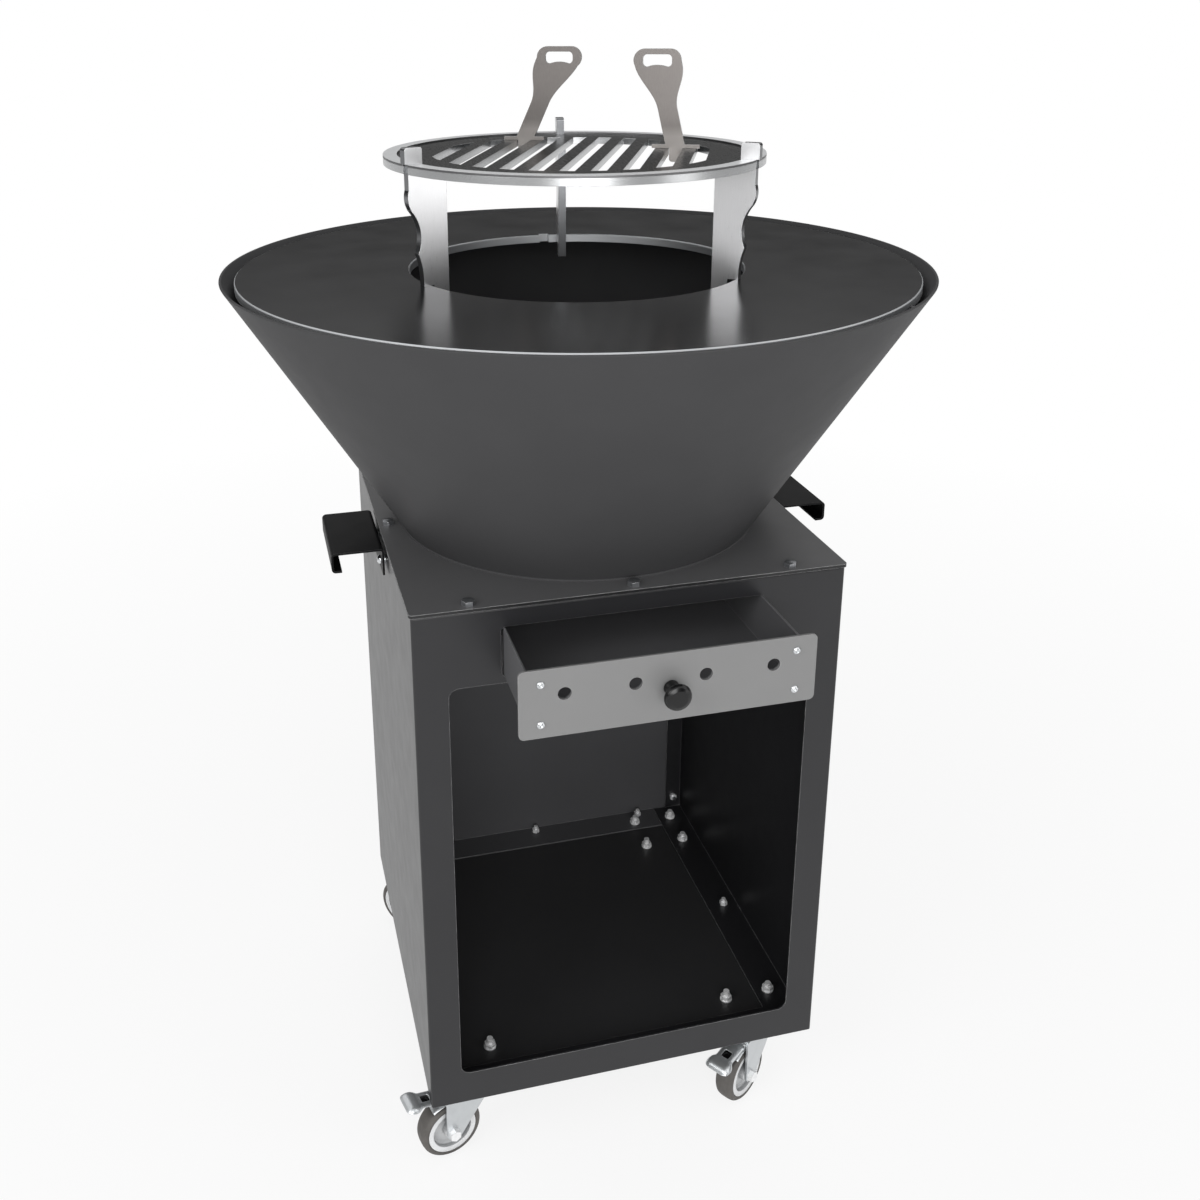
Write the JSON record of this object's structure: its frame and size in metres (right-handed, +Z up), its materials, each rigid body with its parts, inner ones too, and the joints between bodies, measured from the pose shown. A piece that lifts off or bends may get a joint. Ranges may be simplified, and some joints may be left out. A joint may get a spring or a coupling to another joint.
{
  "type": "fire pit grill",
  "caption": "Wheeled fire pit grill: square steel cabinet with an ash drawer, cone fire bowl, ring shaped hot plate and a raised slotted grate with lifters.",
  "frame": {"origin": "on the floor under the axis of the fire bowl, which is the middle of the footprint", "axes": "+Z up, the drawer and the store opening face -Y, +X to the right seen from the front"},
  "size_m": [0.8348, 0.8346, 1.3316],
  "materials": {
    "coat_dark": "satin dark charcoal powder coat on sheet steel",
    "coat_grey": "satin mid grey powder coat on steel plate",
    "coat_black": "satin black powder coat on bent sheet steel",
    "hot_steel": "oiled and burnt in dark steel with bright bevels",
    "grate_steel": "dark ground stainless steel plate",
    "stainless": "ground stainless steel",
    "zinc": "bright zinc plated steel",
    "bolt_dark": "dark zinc plated steel",
    "knob_black": "glossy black moulded plastic",
    "caster_zinc": "bright zinc plated pressed steel",
    "tyre_grey": "non marking grey rubber",
    "wheel_grey": "light grey moulded plastic"
  },
  "bodies": {
    "cabinet": {"cabinet_shell": "coat_dark", "back_panel": "coat_dark", "floor_panel": "coat_dark", "rail_left": "coat_dark", "rail_right": "coat_dark", "back_panel_bolts": "zinc", "back_panel_nuts": "zinc", "floor_bolts": "zinc", "floor_nuts": "zinc", "base_plate": "coat_dark", "base_bolts_hex": "bolt_dark", "base_nuts": "bolt_dark", "fire_bowl": "coat_dark", "plate_lugs": "coat_dark", "handle_left": "coat_black", "handle_right": "coat_black", "handle_spacers": "zinc", "handle_screws": "zinc", "handle_nuts": "zinc", "caster_bolts": "zinc", "caster_nuts": "zinc", "plate_fl": "caster_zinc", "plate_fr": "caster_zinc", "plate_bl": "caster_zinc", "plate_br": "caster_zinc"},
    "drawer": {"drawer_box": "coat_dark", "drawer_front": "coat_grey", "drawer_screws": "zinc", "drawer_nuts": "zinc", "drawer_knob": "knob_black", "knob_nut": "zinc"},
    "hot_plate": {"hot_plate": "hot_steel"},
    "grate": {"grate_plate": "grate_steel", "grate_ring": "stainless", "leg_left": "stainless", "leg_right": "stainless", "leg_back": "stainless"},
    "lifter_left": {"lifter_left": "stainless"},
    "lifter_right": {"lifter_right": "stainless"},
    "fork_fl": {"fork_fl": "caster_zinc", "axle_fl": "caster_zinc"},
    "wheel_fl": {"tyre_fl": "tyre_grey", "wheel_fl": "wheel_grey"},
    "pedal_fl": {"pedal_fl": "caster_zinc"},
    "fork_fr": {"fork_fr": "caster_zinc", "axle_fr": "caster_zinc"},
    "wheel_fr": {"tyre_fr": "tyre_grey", "wheel_fr": "wheel_grey"},
    "pedal_fr": {"pedal_fr": "caster_zinc"},
    "fork_bl": {"fork_bl": "caster_zinc", "axle_bl": "caster_zinc"},
    "wheel_bl": {"tyre_bl": "tyre_grey", "wheel_bl": "wheel_grey"},
    "fork_br": {"fork_br": "caster_zinc", "axle_br": "caster_zinc"},
    "wheel_br": {"tyre_br": "tyre_grey", "wheel_br": "wheel_grey"}
  },
  "joints": [
    {"name": "drawer_slide", "type": "slide", "parent": "cabinet", "child": "drawer", "axis": [0, -1, 0], "range_m": [-0.1125, 0.2]},
    {"name": "hot_plate_lift", "type": "slide", "parent": "cabinet", "child": "hot_plate", "axis": [0, 0, 1], "range_m": [0, 0.25]},
    {"name": "grate_lift", "type": "slide", "parent": "hot_plate", "child": "grate", "axis": [0, 0, 1], "range_m": [0, 0.2]},
    {"name": "lifter_left_lift", "type": "slide", "parent": "grate", "child": "lifter_left", "axis": [0, 0, 1], "range_m": [0, 0.1]},
    {"name": "lifter_right_lift", "type": "slide", "parent": "grate", "child": "lifter_right", "axis": [0, 0, 1], "range_m": [0, 0.1]},
    {"name": "swivel_fl", "type": "hinge", "parent": "cabinet", "child": "fork_fl", "pos_m": [-0.192, -0.205, 0.1], "axis": [0, 0, 1], "continuous": true},
    {"name": "spin_fl", "type": "hinge", "parent": "fork_fl", "child": "wheel_fl", "pos_m": [-0.22499, -0.21322, 0.04], "axis": [0.2419, -0.9703, 0], "continuous": true},
    {"name": "brake_fl", "type": "hinge", "parent": "fork_fl", "child": "pedal_fl", "pos_m": [-0.22887, -0.21419, 0.087], "axis": [0.2419, -0.9703, 0], "range_deg": [0, 24]},
    {"name": "swivel_fr", "type": "hinge", "parent": "cabinet", "child": "fork_fr", "pos_m": [0.192, -0.205, 0.1], "axis": [0, 0, 1], "continuous": true},
    {"name": "spin_fr", "type": "hinge", "parent": "fork_fr", "child": "wheel_fr", "pos_m": [0.16381, -0.22401, 0.04], "axis": [0.5592, -0.829, 0], "continuous": true},
    {"name": "brake_fr", "type": "hinge", "parent": "fork_fr", "child": "pedal_fr", "pos_m": [0.1605, -0.22625, 0.087], "axis": [0.5592, -0.829, 0], "range_deg": [-19, 5]},
    {"name": "swivel_bl", "type": "hinge", "parent": "cabinet", "child": "fork_bl", "pos_m": [-0.192, 0.19, 0.1], "axis": [0, 0, 1], "continuous": true},
    {"name": "spin_bl", "type": "hinge", "parent": "fork_bl", "child": "wheel_bl", "pos_m": [-0.21604, 0.21404, 0.04], "axis": [-0.7071, -0.7071, 0], "continuous": true},
    {"name": "swivel_br", "type": "hinge", "parent": "cabinet", "child": "fork_br", "pos_m": [0.192, 0.19, 0.1], "axis": [0, 0, 1], "continuous": true},
    {"name": "spin_br", "type": "hinge", "parent": "fork_br", "child": "wheel_br", "pos_m": [0.209, 0.21945, 0.04], "axis": [-0.866, 0.5, 0], "continuous": true}
  ]
}
